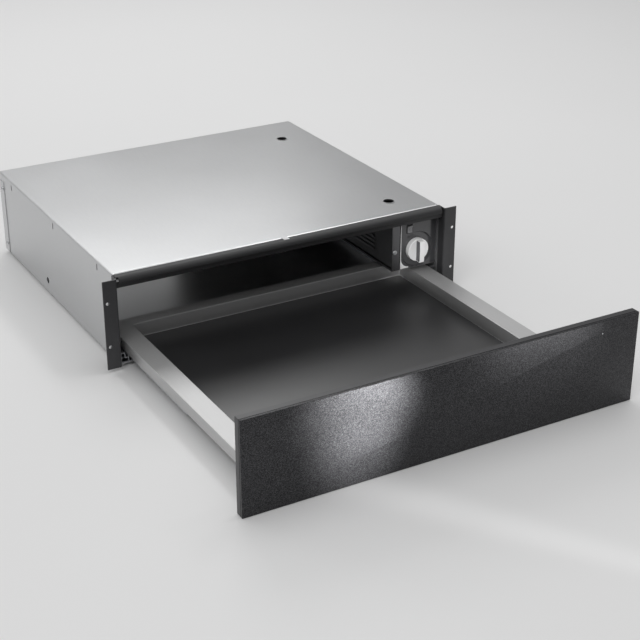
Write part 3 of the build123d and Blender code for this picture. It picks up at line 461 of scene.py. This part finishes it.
finishes["shell_steel"] = sheet_metal(
    "shell sheet", dark=(0.52, 0.525, 0.53), light=(0.62, 0.625, 0.63), rough=(0.28, 0.32),
    stretch=ROLLED, depth=0.01, metallic=0.86)
finishes["tray_steel"] = sheet_metal(
    "brushed stainless", dark=(0.49, 0.49, 0.49), light=(0.60, 0.60, 0.60), rough=None,
    stretch=FINE_BRUSHED, depth=0.03, scale=1400.0)
finishes["duct_steel"] = sheet_metal(
    "dull duct sheet", dark=(0.13, 0.13, 0.135), light=(0.19, 0.19, 0.195), rough=(0.35, 0.45),
    stretch=ROLLED, metallic=0.9)
finishes["runner_zinc"] = sheet_metal(
    "bright zinc", dark=(0.50, 0.51, 0.53), light=(0.68, 0.69, 0.71), rough=(0.28, 0.36),
    stretch=PLATED, scale=1600.0)
finishes["cage_steel"] = sheet_metal(
    "cage strip", dark=(0.38, 0.38, 0.40), light=(0.52, 0.52, 0.54), rough=(0.30, 0.40),
    stretch=STRIP)
finishes["ball_steel"] = sheet_metal(
    "polished balls", dark=(0.72, 0.72, 0.74), light=(0.84, 0.84, 0.86), rough=(0.06, 0.12),
    stretch=EVEN, depth=0.0)
finishes["core_steel"] = sheet_metal(
    "motor laminations", dark=(0.24, 0.24, 0.26), light=(0.36, 0.36, 0.38), rough=(0.40, 0.55),
    stretch=STACKED, depth=0.3, scale=500.0)
finishes["fan_alu"] = sheet_metal(
    "pressed aluminium", dark=(0.62, 0.63, 0.64), light=(0.76, 0.77, 0.78), rough=(0.29, 0.38),
    stretch=EVEN)
finishes["heater_steel"] = sheet_metal(
    "heat tinted tube", dark=(0.26, 0.22, 0.19), light=(0.46, 0.42, 0.38), rough=(0.30, 0.45),
    stretch=TUBE, patch=30.0)
finishes["screw_zinc"] = sheet_metal(
    "screw zinc", dark=(0.58, 0.59, 0.60), light=(0.74, 0.75, 0.76), rough=(0.28, 0.36),
    stretch=EVEN, scale=2500.0)
# The fold's near-white colour, mostly not metal, is a painted highlight and painted reflection:
# it stays bright under any lamp.
finishes["painted_highlight_fold"] = sheet_metal(
    "fold with painted highlight", dark=(0.84, 0.84, 0.84), light=(0.92, 0.92, 0.92), rough=(0.30, 0.36),
    stretch=FOLDED, depth=0.02, metallic=0.25)

# %% [markdown]
# In the photograph the tray's flat rim is pale and dull, while its walls mirror the dark room.
# Both are one sheet, so it is one finish: a height mask, read from the object's own coordinates,
# makes the metal dull at the rim and ever smoother down the walls.

# %% brushed rim, polished walls
RIM_EDGE, WALL_DEPTH = 1 * MM, 36 * MM
POLISHED_TO_BRUSHED = {"Roughness": (0.28, 0.46), "Metallic": (1.0, 0.66)}


def brush_the_rim(finish, rim_top):
    tree = finish.node_tree
    shader = tree.nodes["Principled BSDF"]
    apart = tree.nodes.new("ShaderNodeSeparateXYZ")
    tree.links.new(tree.nodes["Texture Coordinate"].outputs["Object"], apart.inputs[0])
    height = tree.nodes.new("ShaderNodeMapRange")
    height.inputs["From Min"].default_value = rim_top - WALL_DEPTH
    height.inputs["From Max"].default_value = rim_top - RIM_EDGE
    tree.links.new(apart.outputs["Z"], height.inputs["Value"])
    for socket, (wall, rim) in POLISHED_TO_BRUSHED.items():
        value = swing_value(tree, height.outputs["Result"], wall, rim)
        tree.links.new(value, shader.inputs[socket])


tray_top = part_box("tray")[1].z
brush_the_rim(finishes["tray_steel"], tray_top)
print("the tray's rim is at", round(tray_top, 4))

# %% [markdown]
# The flanges are charcoal enamel. The bar over the mouth shows less shine than they do, so it has
# a duller enamel of its own. The plate behind the knob is glossy and mirrors the knob a little.

# %% enamel finishes
finishes["dark_steel"] = moulded(
    "charcoal enamel", dark=(0.038, 0.038, 0.040), light=(0.052, 0.052, 0.055),
    rough=(0.36, 0.46), scale=1300.0, depth=0.06)
finishes["frame_black"] = moulded(
    "black enamel", dark=(0.030, 0.030, 0.032), light=(0.045, 0.045, 0.048),
    rough=(0.34, 0.44), scale=1300.0, depth=0.06)
finishes["bar"] = moulded(
    "dull bar enamel", dark=(0.026, 0.026, 0.027), light=(0.036, 0.036, 0.038),
    rough=(0.50, 0.58), scale=1300.0, depth=0.06)
finishes["control_black"] = moulded(
    "glossy control enamel", dark=(0.040, 0.040, 0.042), light=(0.055, 0.055, 0.058),
    rough=(0.10, 0.16), depth=0.01, coat=0.6)

# %% [markdown]
# The plastics differ mostly in tone and in how fine their grain is. The mat is soft rubber with
# a small leathery grain and a soft sheen.

# %% plastic and rubber finishes
finishes["knob_light"] = moulded(
    "light knob plastic", dark=(0.78, 0.78, 0.78), light=(0.84, 0.84, 0.84),
    rough=(0.34, 0.44), depth=0.04)
# This dark plastic also makes the knob's flank inlays, where its darkness is painted shade on the
# bar's flanks.
finishes["knob_dark"] = moulded(
    "dark pointer plastic and painted shade", dark=(0.10, 0.10, 0.11), light=(0.14, 0.14, 0.15),
    rough=(0.35, 0.45), depth=0.04)
finishes["rocker_grey"] = moulded(
    "grey rocker plastic", dark=(0.17, 0.17, 0.175), light=(0.22, 0.22, 0.225),
    rough=(0.30, 0.40), depth=0.04)
finishes["plastic_black"] = moulded(
    "black plastic", dark=(0.030, 0.030, 0.032), light=(0.050, 0.050, 0.053),
    rough=(0.40, 0.52), depth=0.1)
finishes["plastic_white"] = moulded(
    "natural nylon", dark=(0.66, 0.66, 0.63), light=(0.76, 0.76, 0.73),
    rough=(0.38, 0.48), depth=0.06)
finishes["coil"] = moulded(
    "taped winding", dark=(0.34, 0.13, 0.04), light=(0.52, 0.22, 0.07),
    rough=(0.28, 0.42), scale=700.0, depth=0.3)
finishes["buffer_rubber"] = moulded(
    "buffer rubber", dark=(0.06, 0.06, 0.06), light=(0.09, 0.09, 0.09),
    rough=(0.55, 0.70), depth=0.1)
finishes["mat_rubber"] = moulded(
    "mat rubber", dark=(0.014, 0.014, 0.015), light=(0.020, 0.020, 0.021),
    rough=(0.33, 0.37), scale=620.0, depth=0.10, specular=0.8)
finishes["led"] = moulded(
    "clear lens", dark=(0.42, 0.44, 0.45), light=(0.52, 0.54, 0.55),
    rough=(0.12, 0.2), depth=0.02, coat=0.8)

# %% [markdown]
# The front is black glass that glitters in the light, as if it were printed behind with a
# metallic flake. It is a dark body with bright cells under a thin satin coat. The coat is not
# sharp, because a sharp one would draw the outline of each lamp on the glass.

# %% front glass
FLAKE_SIZE, FLAKE_SHARE, GLASS_CLOUDS = 1500.0, 0.35, 8.0
GLASS_DARK, FLAKE_BRIGHT = (0.024, 0.024, 0.026), (0.10, 0.10, 0.105)
GLASS_ROUGH = (0.42, 0.50)


def make_front_glass():
    finish, tree, shader, place = new_finish("black flake glass", metallic=0.9, coat=0.2,
                                             coat_roughness=0.35, specular=0.3)
    bright = use_group(tree, flake, place, Scale=FLAKE_SIZE, Share=FLAKE_SHARE)
    clouds = use_group(tree, soft_patches, place, Scale=GLASS_CLOUDS)
    colour = swing_colour(tree, bright.outputs["Mask"], GLASS_DARK, FLAKE_BRIGHT)
    tree.links.new(colour, shader.inputs["Base Color"])
    rough = swing_value(tree, clouds.outputs["Mask"], *GLASS_ROUGH)
    tree.links.new(rough, shader.inputs["Roughness"])
    return finish


finishes["front_glass"] = make_front_glass()

# %% [markdown]
# Every CAD node now gets the finish of its slot. Two nodes get a darker one than their slot says:
# the bar over the mouth, and the small guide studs beside the tray, because the photograph shows
# nothing light where they sit.

# %% paint the CAD nodes
slot_of = {row["node"]: row["material_slot"] for row in frame["record"]["subparts"]}
for node, piece in nodes.items():
    piece.data.materials.clear()
    piece.data.materials.append(finishes[slot_of[node]])
nodes["mouth_crossbar"].data.materials[0] = finishes["bar"]
nodes["guide_studs"].data.materials[0] = finishes["plastic_black"]
print("painted", len(nodes), "CAD nodes with", len(finishes), "finishes")

# %% [markdown]
# The front is a pane of float glass whose edges are ground and polished. It starts as a block of
# the CAD pane's size, its edges are rounded by a modifier, and the status light's hole is bored
# through it. The lens stands in that hole: a short rod whose front is domed by a rounded bevel,
# with a wider collar behind the glass. The hole's middle is the middle of the CAD lens.

# %% front pane and status light
GLASS_EDGE = 0.6 * MM
HOLE_R, STEM_R, COLLAR_R = 1.5 * MM, 1.42 * MM, 3 * MM
STEM_DOME, COLLAR_EDGE = 0.9 * MM, 0.5 * MM
SMALL_SIDES, SMALL_STEPS = 32, 2
CUTTER_LENGTH = 20 * MM


def make_pane():
    low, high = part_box("front_glass")
    pane = add_block(low, high)
    soften(pane, GLASS_EDGE)
    led_low, led_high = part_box("led_lens")
    led = (led_low + led_high) / 2
    bore = add_rod((led.x, (low.y + high.y) / 2, led.z), HOLE_R, CUTTER_LENGTH, Y, SMALL_SIDES)
    combine(pane, bore, "DIFFERENCE")
    done(pane, "glass_pane", "drawer", "front_glass")
    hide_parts("front_glass")
    return led, low.y, high.y, led_high.y


def make_lens(led, front, glass_back, back):
    stem = add_rod((led.x, (front + glass_back) / 2, led.z), STEM_R, glass_back - front, Y,
                   SMALL_SIDES)
    bevel_rim(stem, Y, front, STEM_DOME)
    collar = add_rod((led.x, (glass_back + back) / 2, led.z), COLLAR_R, back - glass_back, Y,
                     SMALL_SIDES)
    bevel_rim(collar, Y, back, COLLAR_EDGE, SMALL_STEPS)
    lens = join_up([stem, collar])
    done(lens, "status_lens", "drawer", "led")
    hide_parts("led_lens")


make_lens(*make_pane())

# %% [markdown]
# The knob is a turned disc with a grip bar across it. The disc is a cylinder: its front rim is
# rounded, and its front face is inset and sunk a little. The bar is a block, cut to the bow of a
# large cylinder and rounded. Both flanks carry a dark inlay from end to end, so that the pointer
# shows from the side where the knob points; its dark colour is also painted shade on the flanks.

# %% thermostat knob
GRIP_HEIGHT = 10.5 * MM
DISC_EDGE, DISC_RIM, DISC_SUNK = 0.9 * MM, 1.6 * MM, 0.5 * MM
BAR_HALF_WIDTH, BAR_SHORTER, BAR_ROOT, BAR_EDGE = 4.0 * MM, 0.9 * MM, 0.8 * MM, 0.7 * MM
BOW_RADIUS, BOW_OVERLAP = 200 * MM, 10 * MM
INLAY_IN, INLAY_OUT, INLAY_SHORTER, INLAY_ROOT = 0.3 * MM, 0.06 * MM, 1.0 * MM, 0.1 * MM
INLAY_BLOCK_BACK, INLAY_BOW_BACK = 0.8 * MM, 0.7 * MM
DISC_SIDES, BOW_SIDES = 96, 256


def bowed_bar(low, high, front):
    """A block whose front is cut to a large cylinder that lies across it."""
    bar = add_block(low, high)
    bow = add_rod(((low[X] + high[X]) / 2, front + BOW_RADIUS, (low[Z] + high[Z]) / 2),
                  BOW_RADIUS, high[X] - low[X] + BOW_OVERLAP, X, BOW_SIDES)
    combine(bar, bow, "INTERSECT")
    return bar


def make_knob_body(low, high, middle, face, half_length):
    disc = add_rod((middle.x, (face + high.y) / 2, middle.z), (high.x - low.x) / 2,
                   high.y - face, Y, DISC_SIDES)
    bevel_rim(disc, Y, face, DISC_EDGE)
    push_face(disc, Y, face, DISC_RIM, DISC_SUNK)
    bar = bowed_bar((middle.x - BAR_HALF_WIDTH, low.y, middle.z - half_length),
                    (middle.x + BAR_HALF_WIDTH, face + BAR_ROOT, middle.z + half_length), low.y)
    soften(bar, BAR_EDGE)
    knob = join_up([disc, bar])
    done(knob, "knob_body", "knob", "knob_light")
    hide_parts("thermostat_knob")


def make_knob_pointer_and_shade(low, middle, face, half_length):
    # The inlays stand for the pointer, and their dark colour is also painted shade on the bar's
    # flanks.
    inlays = []
    for side in (-1, 1):
        near, far = sorted((middle.x + side * (BAR_HALF_WIDTH - INLAY_IN),
                            middle.x + side * (BAR_HALF_WIDTH + INLAY_OUT)))
        inlays.append(bowed_bar(
            (near, low.y + INLAY_BLOCK_BACK, middle.z - half_length + INLAY_SHORTER),
            (far, face + INLAY_ROOT, middle.z + half_length - INLAY_SHORTER),
            low.y + INLAY_BOW_BACK))
    inlay = join_up(inlays)
    done(inlay, "knob_pointer_and_painted_shade", "knob", "knob_dark")
    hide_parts("knob_pointer")


def make_knob():
    low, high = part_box("thermostat_knob")
    middle = (low + high) / 2
    face = low.y + GRIP_HEIGHT
    half_length = (high.x - low.x) / 2 - BAR_SHORTER
    make_knob_body(low, high, middle, face, half_length)
    make_knob_pointer_and_shade(low, middle, face, half_length)


make_knob()

# %% [markdown]
# The control plate's left edge shows a bright line that widens in a curve at its foot. It is
# built here as a fold with a small gusset, and its near-white colour is a painted highlight and
# painted reflection. It starts as one block. A second block takes out its right side above the
# foot, a cylinder cuts the foot's curve, and a bevel rounds the fold, because a rounded edge is
# what catches the light.

# %% fold and gusset of the control plate
FOOT_WIDTH, FOOT_HEIGHT = 15.0 * MM, 17.0 * MM
FOLD_WIDTH, FOLD_HEIGHT, FOLD_EDGE = 1.1 * MM, 74.0 * MM, 0.3 * MM
FOLD_PROUD, FOLD_ROOT = 0.7 * MM, 0.3 * MM
WELL_PAST = 1.0


def make_fold():
    low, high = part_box("control_plate")
    top = low.z + FOLD_HEIGHT
    fold = add_block((low.x, low.y - FOLD_PROUD, low.z),
                     (low.x + FOOT_WIDTH, low.y + FOLD_ROOT, top))
    beside = add_block((low.x + FOLD_WIDTH, low.y - WELL_PAST, low.z + FOOT_HEIGHT),
                       (low.x + 2 * FOOT_WIDTH, low.y + WELL_PAST, top + WELL_PAST))
    combine(fold, beside, "DIFFERENCE")
    curve = add_rod((low.x + FOOT_WIDTH + FOLD_WIDTH, low.y, low.z + FOOT_HEIGHT), FOOT_WIDTH,
                    CUTTER_LENGTH, Y, DISC_SIDES)
    combine(fold, curve, "DIFFERENCE")
    soften(fold, FOLD_EDGE)
    # Its finish paints the highlight and reflection on the fold.
    done(fold, "plate_fold", "housing", "screw_zinc", "painted_highlight_fold")


make_fold()

# %% [markdown]
# Screws and rivets are modelled once for each kind and copied. A screw is a cylinder with a
# rounded rim and a cross cut into its head, on a thinner shank. A rivet has the same rounded
# head, with the small pit that the setting pin leaves. The places come from the CAD: each loose
# part of a CAD node is one fastener, and its box gives the head's place and size.

# %% places of the fasteners
def loose_boxes(node):
    """The boxes of the separate solids of a CAD node, found on a copy of its mesh."""
    clear_selection()
    copy = nodes[node].copy()
    copy.data = nodes[node].data.copy()
    bpy.context.scene.collection.objects.link(copy)
    only(copy)
    bpy.ops.object.mode_set(mode="EDIT")
    bpy.ops.mesh.select_all(action="SELECT")
    bpy.ops.mesh.remove_doubles(threshold=SAME_HEIGHT)
    bpy.ops.mesh.separate(type="LOOSE")
    bpy.ops.object.mode_set(mode="OBJECT")
    boxes = []
    for part in list(bpy.context.selected_objects):
        corners = [vertex.co for vertex in part.data.vertices]
        boxes.append([[pick(corner[i] for corner in corners) for i in (X, Y, Z)]
                      for pick in (min, max)])
        bpy.data.objects.remove(part)
    return boxes


# %% [markdown]
# A fastener is made standing on the XY plane with its head up. The screws of the rails and of
# the front are heads without a shank, as in the CAD, because nothing of their shanks is seen.

# %% one fastener
HEAD_ROUND = 0.55                       # share of the head's height
CROSS_LENGTH, CROSS_WIDTH = 1.15, 0.26  # shares of the head's radius
CROSS_DEPTH, PIT_RADIUS, PIT_DEPTH = 0.5, 0.26, 0.7
SHANK_RADIUS, NO_SHANK = 1.7 * MM, 0.1 * MM
HEAD_SIDES, PIT_SIDES, SHANK_SIDES = 40, 24, 20


def cut_cross(head, radius, height):
    for along, across in ((CROSS_LENGTH, CROSS_WIDTH), (CROSS_WIDTH, CROSS_LENGTH)):
        half_x, half_y = along * radius / 2, across * radius / 2
        combine(head, add_block((-half_x, -half_y, height * CROSS_DEPTH),
                                (half_x, half_y, height * (1 + CROSS_DEPTH))), "DIFFERENCE")


def make_fastener(radius, height, shank, cross):
    """A screw or rivet whose head stands on the XY plane and whose shank, if any, goes down."""
    head = add_rod((0, 0, height / 2), radius, height, Z, HEAD_SIDES)
    bevel_rim(head, Z, height, height * HEAD_ROUND)
    if cross:
        cut_cross(head, radius, height)
    else:
        combine(head, add_rod((0, 0, height), radius * PIT_RADIUS, height * PIT_DEPTH, Z,
                              PIT_SIDES), "DIFFERENCE")
    if shank < NO_SHANK:
        return head
    return join_up([head, add_rod((0, 0, -shank / 2), SHANK_RADIUS, shank, Z, SHANK_SIDES)])


def copy_to(master, seat, toward):
    """A copy with its own mesh, its head's seat at a place and its head towards a direction."""
    copy = master.copy()
    copy.data = master.data.copy()
    bpy.context.scene.collection.objects.link(copy)
    copy.rotation_euler = Vector(toward).to_track_quat("Z", "Y").to_euler()
    copy.location = seat
    settle(copy)
    return copy


# %% [markdown]
# A copy is then turned and moved to each place. Its head faces outwards, away from the drawer's
# middle, where the fastener holds a side wall. Elsewhere the side is given as 1 or -1 along its
# axis.

# %% dress the fasteners
OUTWARDS = None
SCREW_HEAD, LOW_HEAD = 2.0 * MM, 1.4 * MM


def dress_fasteners(node, name, body, axis, head_height, side, cross=True):
    """Replace each solid of a CAD node by a modelled screw or rivet."""
    boxes = loose_boxes(node)
    low, high = boxes[0]
    across = (axis + 1) % 3
    radius = (high[across] - low[across]) / 2
    master = make_fastener(radius, head_height, high[axis] - low[axis] - head_height, cross)
    copies = []
    for low, high in boxes:
        seat = [(low[i] + high[i]) / 2 for i in (X, Y, Z)]
        facing = side or (1 if seat[X] > 0 else -1)
        toward = [0, 0, 0]
        toward[axis] = facing
        seat[axis] = (high[axis] - head_height) if facing > 0 else (low[axis] + head_height)
        copies.append(copy_to(master, seat, toward))
    bpy.data.objects.remove(master)
    piece = join_up(copies)
    done(piece, name, body, "screw_zinc")
    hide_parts(node)


dress_fasteners("cover_screws", "rear_side_screws", "housing", X, SCREW_HEAD, OUTWARDS)
dress_fasteners("web_rivets", "flange_rivets", "housing", X, SCREW_HEAD, OUTWARDS, cross=False)
dress_fasteners("duct_screw", "duct_strip_screw", "housing", Y, SCREW_HEAD, -1)
dress_fasteners("rail_screws", "bracket_screws", "housing", Z, LOW_HEAD, 1)
dress_fasteners("front_screws", "front_fixing_screws", "drawer", Y, SCREW_HEAD, 1)

# %% [markdown]
# The floor is a plain pale sheet just below the drawer. The world is a pale studio that is dark
# near the horizon and bright above, so that the metal has something to mirror. Its bright side
# leans a little to the left and to the back, and that gives the cover its slow change of tone.

# %% floor and world
FLOOR_GAP, FLOOR_SIZE, FLOOR_ROUGH, FLOOR_CLOUDS = 0.5 * MM, 30, 0.8, 1.2
FLOOR_DARK, FLOOR_LIGHT = (0.80, 0.80, 0.80), (0.83, 0.83, 0.83)
BRIGHT_SIDE, DARK_BELOW, BRIGHT_ABOVE = (-0.20, 0.20, 0.96), 0.28, 0.61
STUDIO_DARK, STUDIO_BRIGHT, STUDIO_STRENGTH = (0.30, 0.30, 0.305), (1.0, 1.0, 1.0), 0.62


def make_floor():
    finish, tree, shader, place = new_finish("pale paper floor", specular=0.2)
    clouds = use_group(tree, soft_patches, place, Scale=FLOOR_CLOUDS)
    tone = swing_colour(tree, clouds.outputs["Mask"], FLOOR_DARK, FLOOR_LIGHT)
    tree.links.new(tone, shader.inputs["Base Color"])
    shader.inputs["Roughness"].default_value = FLOOR_ROUGH
    clear_selection()
    bpy.ops.mesh.primitive_plane_add(size=FLOOR_SIZE, location=(0, 0, cad_low.z - FLOOR_GAP))
    floor = bpy.context.object
    floor.name = "floor"
    floor.data.materials.append(finish)


def make_world():
    world = bpy.data.worlds.new("studio")
    bpy.context.scene.world = world
    world.use_nodes = True
    tree = world.node_tree
    back = tree.nodes["Background"]
    back.inputs["Strength"].default_value = STUDIO_STRENGTH
    place = tree.nodes.new("ShaderNodeTexCoord")
    toward = tree.nodes.new("ShaderNodeVectorMath")
    toward.operation = "DOT_PRODUCT"
    toward.inputs[1].default_value = BRIGHT_SIDE
    tree.links.new(place.outputs["Generated"], toward.inputs[0])
    height = tree.nodes.new("ShaderNodeMapRange")
    height.inputs["From Min"].default_value = DARK_BELOW
    height.inputs["From Max"].default_value = BRIGHT_ABOVE
    tree.links.new(toward.outputs["Value"], height.inputs["Value"])
    tone = swing_colour(tree, height.outputs["Result"], STUDIO_DARK, STUDIO_BRIGHT)
    tree.links.new(tone, back.inputs["Color"])


make_floor()
make_world()

# %% [markdown]
# Five soft boxes light the drawer. The key box stands over the camera's left shoulder, the back
# box and the bend box behind the housing, and the edge strip above its right side. The mouth
# lamp is a small one inside the housing, for the light that the photograph shows in there. Four
# narrow spots stand in front. One points at the controls, and three stand close to the floor and
# make the broad glow on the black glass. They are small, because a larger one so low would draw
# a pool of light on the floor round itself. No lamp is seen by the camera, only what it lights.

# %% lamps
SPOT_RADIUS = 22 * MM
SOFT_BOXES = (  # name, place, aim, width, height, power
    ("key box", (-1.6, -1.4, 2.2), (0, -0.1, 0), 1.4, 1.2, 16),
    ("back box", (0.60, 2.20, 1.85), (0, 0, 0), 1.4, 1.1, 14),
    ("edge strip", (1.15, -0.10, 2.3), (0.1, -0.1, 0), 1.8, 0.35, 9),
    ("mouth lamp", (-0.08, 0.47, 0.040), (-0.08, 0.10, 0.0), 0.20, 0.03, 0.014),
    ("bend box", (-1.43, 2.35, 1.27), (-0.2, 0.2, 0.0), 0.7, 0.5, 4),
)
SPOTS = (  # name, place, aim, cone in degrees, power
    ("control light", (-0.30, -1.35, 0.48), (0.229, 0.0, 0.0), 4.6, 50),
    ("panel glow", (0.40, -1.27, -0.03), (-0.135, -0.4246, 0.02), 8.9, 120),
    ("low glow", (0.40, -1.27, -0.03), (-0.138, -0.4246, -0.035), 7.0, 178),
    ("second glow", (0.775, -1.20, -0.03), (0.14, -0.4246, 0.05), 11, 11),
)


def hang_lamp(name, lamp, place, aim, power):
    """Put a lamp at its place and turn it to what it lights."""
    lamp.energy = power
    holder = bpy.data.objects.new(name, lamp)
    holder.location = place
    holder.rotation_euler = (Vector(aim) - Vector(place)).to_track_quat("-Z", "Y").to_euler()
    holder.visible_camera = False
    bpy.context.scene.collection.objects.link(holder)


for name, place, aim, width, height, power in SOFT_BOXES:
    lamp = bpy.data.lights.new(name, "AREA")
    lamp.shape = "RECTANGLE"
    lamp.size = width
    lamp.size_y = height
    hang_lamp(name, lamp, place, aim, power)

for name, place, aim, cone, power in SPOTS:
    lamp = bpy.data.lights.new(name, "SPOT")
    lamp.spot_size = math.radians(cone)
    lamp.spot_blend = 1.0
    lamp.shadow_soft_size = SPOT_RADIUS
    hang_lamp(name, lamp, place, aim, power)
print("hung", len(SOFT_BOXES), "soft boxes and", len(SPOTS), "spots")

# %% [markdown]

# %% [markdown]
# The Standard view shows a colour about as it is written, so a tone in a finish can be compared
# with the same tone in the photograph.

# %% view and finish
bpy.context.scene.view_settings.view_transform = "Standard"
